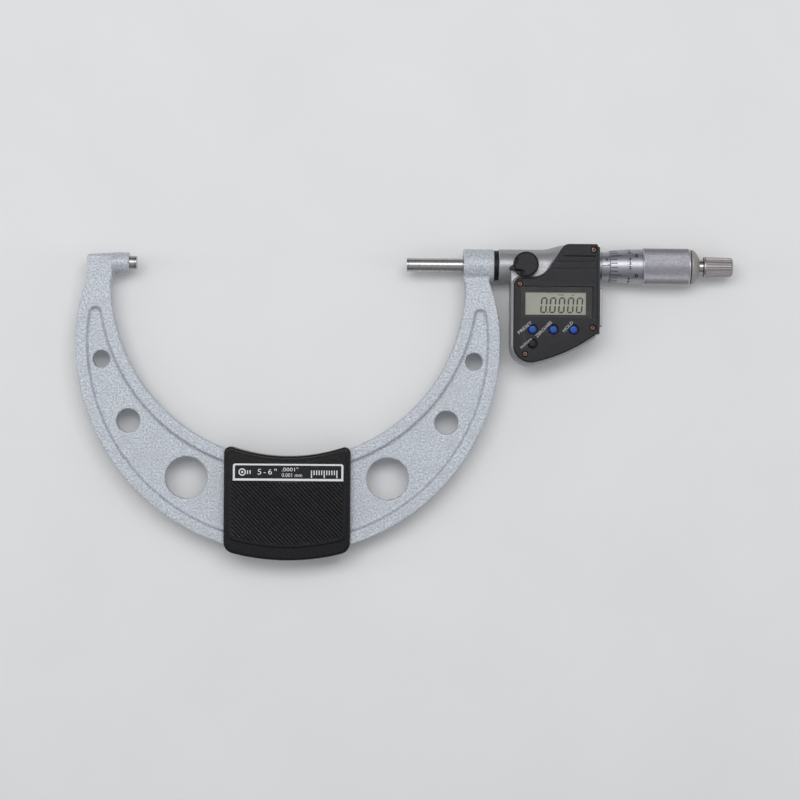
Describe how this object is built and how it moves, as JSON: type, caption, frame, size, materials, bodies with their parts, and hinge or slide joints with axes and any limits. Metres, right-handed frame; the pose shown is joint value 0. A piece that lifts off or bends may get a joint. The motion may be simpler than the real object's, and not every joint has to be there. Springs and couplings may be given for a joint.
{
  "type": "outside micrometer",
  "caption": "Digital outside micrometer with a deep cast bow, plastic heat shields, carbide-tipped anvil and spindle, coded thimble, ratchet stop, clamp lever and display case.",
  "frame": {"origin": "centre of the anvil's measuring face, on the spindle axis", "axes": "+X along the spindle axis towards the ratchet, +Y away from the curve of the bow, +Z out of the display, up when the tool lies on its back"},
  "size_m": [0.3128, 0.1508, 0.0224],
  "materials": {
    "hammer_paint": "light blue-grey hammer-finish paint over cast iron",
    "ground_steel": "ground and lapped tool steel",
    "carbide": "lapped cemented carbide",
    "shield_plastic": "black moulded plastic with a fine diamond texture",
    "label_print": "black printed label with white marks",
    "seal_rubber": "black rubber",
    "cast_case": "satin die-cast alloy with clear coat",
    "cover_plastic": "charcoal moulded plastic",
    "screw_steel": "small bronzed steel screws",
    "window_glass": "clear window with a dark printed border",
    "lcd_glass": "grey-green liquid crystal panel",
    "board": "green circuit board",
    "button_blue": "blue moulded button",
    "button_black": "black moulded plastic",
    "brass": "machined brass",
    "satin_chrome": "satin chrome plating",
    "cream_paint": "warm grey paint"
  },
  "bodies": {
    "micrometer_body": {"frame": "hammer_paint", "anvil": "ground_steel", "anvil_carbide_tip": "carbide", "front_heat_shield": "shield_plastic", "rear_heat_shield": "shield_plastic", "range_label": "label_print", "heat_shield_screw_left": "ground_steel", "heat_shield_screw_right": "ground_steel", "spindle_guide_bush": "ground_steel", "spindle_wiper": "seal_rubber", "nose_seal_ring": "seal_rubber", "housing": "cast_case", "front_cover": "cover_plastic", "cover_gasket": "seal_rubber", "cover_screw_1": "screw_steel", "cover_screw_2": "screw_steel", "cover_screw_3": "screw_steel", "cover_screw_4": "screw_steel", "display_window": "window_glass", "lcd_panel": "lcd_glass", "lcd_connector": "seal_rubber", "circuit_board": "board", "button_pad": "seal_rubber", "encoder_stator": "board", "rotor_thrust_washer": "ground_steel", "battery": "ground_steel", "battery_contact": "brass", "output_connector": "button_black", "port_gasket": "seal_rubber", "port_cover": "cast_case", "port_cover_screw_lower": "screw_steel", "port_cover_screw_upper": "screw_steel", "inner_sleeve": "ground_steel", "graduated_sleeve": "satin_chrome", "adjusting_nut": "ground_steel", "clamp_pad": "brass"},
    "encoder_rotor": {"encoder_rotor": "brass", "rotor_key": "ground_steel"},
    "spindle_group": {"spindle": "ground_steel", "spindle_carbide_tip": "carbide", "thimble": "satin_chrome", "thimble_end_cap": "cream_paint", "ratchet_shaft": "ground_steel", "ratchet_spring": "ground_steel"},
    "ratchet_group": {"ratchet_knob": "satin_chrome", "ratchet_disc": "ground_steel", "ratchet_end_plug": "satin_chrome"},
    "clamp_group": {"clamp_lever": "cover_plastic", "clamp_shaft": "ground_steel"},
    "preset_button": {"preset_button": "button_blue"},
    "zero_button": {"zero_button": "button_blue"},
    "hold_button": {"hold_button": "button_blue"},
    "unit_button": {"unit_button": "button_black"},
    "battery_seal": {"battery_seal": "seal_rubber"},
    "battery_cap": {"battery_cap": "cover_plastic"}
  },
  "joints": [
    {"name": "thimble_turn", "type": "hinge", "parent": "micrometer_body", "child": "encoder_rotor", "pos_m": [0.2035, 0, 0], "axis": [1, 0, 0], "range_deg": [-900, 13500]},
    {"name": "spindle_travel", "type": "slide", "parent": "encoder_rotor", "child": "spindle_group", "axis": [1, 0, 0], "range_m": [-0.00159, 0.02381]},
    {"name": "ratchet_turn", "type": "hinge", "parent": "spindle_group", "child": "ratchet_group", "pos_m": [0.277, 0, 0], "axis": [1, 0, 0], "continuous": true},
    {"name": "clamp_lever_turn", "type": "hinge", "parent": "micrometer_body", "child": "clamp_group", "pos_m": [0.1848, 0, 0.0103], "axis": [0, 0, -1], "range_deg": [0, 60]},
    {"name": "preset_button_press", "type": "slide", "parent": "micrometer_body", "child": "preset_button", "axis": [0, 0, -1], "range_m": [0, 0.0004], "stiffness_N_per_m": 600},
    {"name": "zero_button_press", "type": "slide", "parent": "micrometer_body", "child": "zero_button", "axis": [0, 0, -1], "range_m": [0, 0.0004], "stiffness_N_per_m": 600},
    {"name": "hold_button_press", "type": "slide", "parent": "micrometer_body", "child": "hold_button", "axis": [0, 0, -1], "range_m": [0, 0.0004], "stiffness_N_per_m": 600},
    {"name": "unit_button_press", "type": "slide", "parent": "micrometer_body", "child": "unit_button", "axis": [0, 0, -1], "range_m": [0, 0.0004], "stiffness_N_per_m": 600},
    {"name": "battery_cap_lift", "type": "slide", "parent": "micrometer_body", "child": "battery_seal", "axis": [0, 0, -1], "range_m": [0, 0.00112]},
    {"name": "battery_cap_turn", "type": "hinge", "parent": "battery_seal", "child": "battery_cap", "pos_m": [0.204, -0.0285, -0.0085], "axis": [0, 0, -1], "range_deg": [0, 540]}
  ],
  "couplings": [
    {"joint": "thimble_turn", "follows": "spindle_travel", "rad_per_m": 9894.8},
    {"joint": "battery_cap_turn", "follows": "battery_cap_lift", "rad_per_m": 8377.6}
  ]
}
